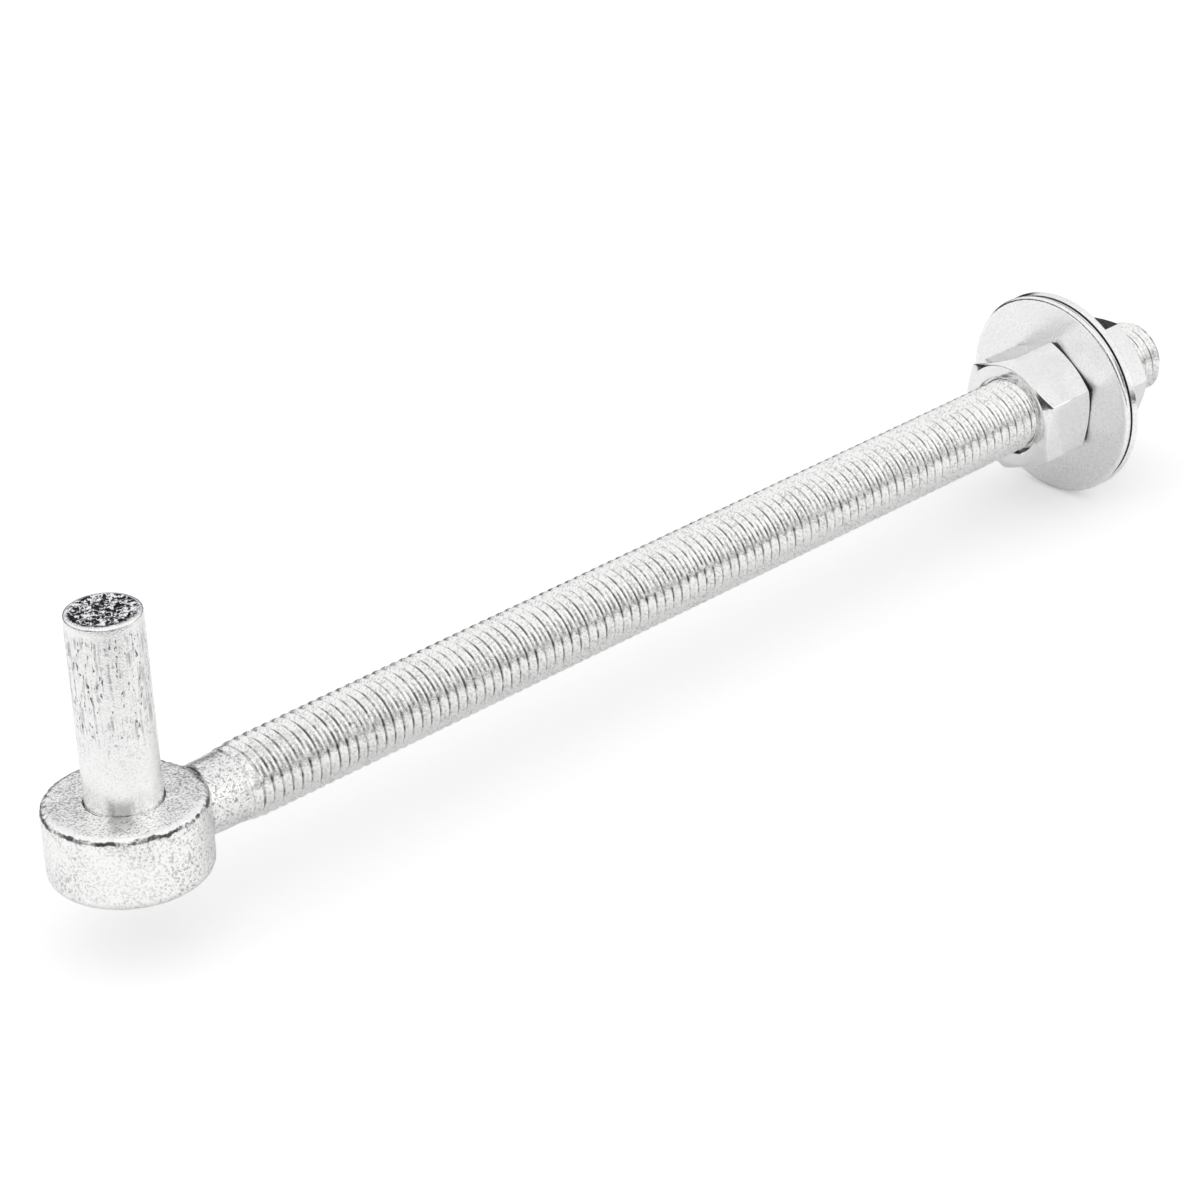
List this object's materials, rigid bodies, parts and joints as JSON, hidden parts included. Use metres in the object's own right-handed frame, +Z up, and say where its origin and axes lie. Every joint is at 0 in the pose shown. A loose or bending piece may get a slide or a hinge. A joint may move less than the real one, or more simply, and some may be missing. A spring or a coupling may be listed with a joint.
{
  "type": "bolt hook",
  "caption": "Gate hinge bolt: an upright pin in a round forged boss on a long threaded rod, with nuts and washers that clamp the rod in a post.",
  "frame": {"origin": "centre of the hinge pin's base, on the boss's top face", "axes": "+Z up the hinge pin, +X along the rod towards its free end"},
  "size_m": [0.2971, 0.0444, 0.069],
  "materials": {
    "forged_zinc": "zinc plating over forged and rolled steel, grainy",
    "drawn_zinc": "zinc plating over drawn bar, with fine lines and pits",
    "nut_zinc": "bright zinc plating, smooth",
    "washer_zinc": "satin zinc plating over stamped sheet"
  },
  "bodies": {
    "hook": {"eye_bolt": "forged_zinc", "hinge_pin": "drawn_zinc"},
    "inner_washer": {"inner_washer": "washer_zinc"},
    "inner_nut": {"inner_nut": "nut_zinc"},
    "outer_washer": {"outer_washer": "washer_zinc"},
    "outer_nut": {"outer_nut": "nut_zinc"}
  },
  "joints": [
    {"name": "inner_washer_slide", "type": "slide", "parent": "hook", "child": "inner_washer", "axis": [1, 0, 0], "range_m": [-0.21243, 0]},
    {"name": "inner_nut_turn", "type": "hinge", "parent": "inner_washer", "child": "inner_nut", "pos_m": [0.253, 0, -0.0079], "axis": [1, 0, 0], "range_deg": [-33120, 0]},
    {"name": "outer_washer_slide", "type": "slide", "parent": "hook", "child": "outer_washer", "axis": [1, 0, 0], "range_m": [0, 0.0231]},
    {"name": "outer_nut_turn", "type": "hinge", "parent": "outer_washer", "child": "outer_nut", "pos_m": [0.257, 0, -0.0079], "axis": [1, 0, 0], "range_deg": [0, 3600]}
  ],
  "couplings": [
    {"joint": "inner_washer_slide", "follows": "inner_nut_turn", "m_per_rad": 0.00036749},
    {"joint": "outer_washer_slide", "follows": "outer_nut_turn", "m_per_rad": 0.00036749}
  ]
}
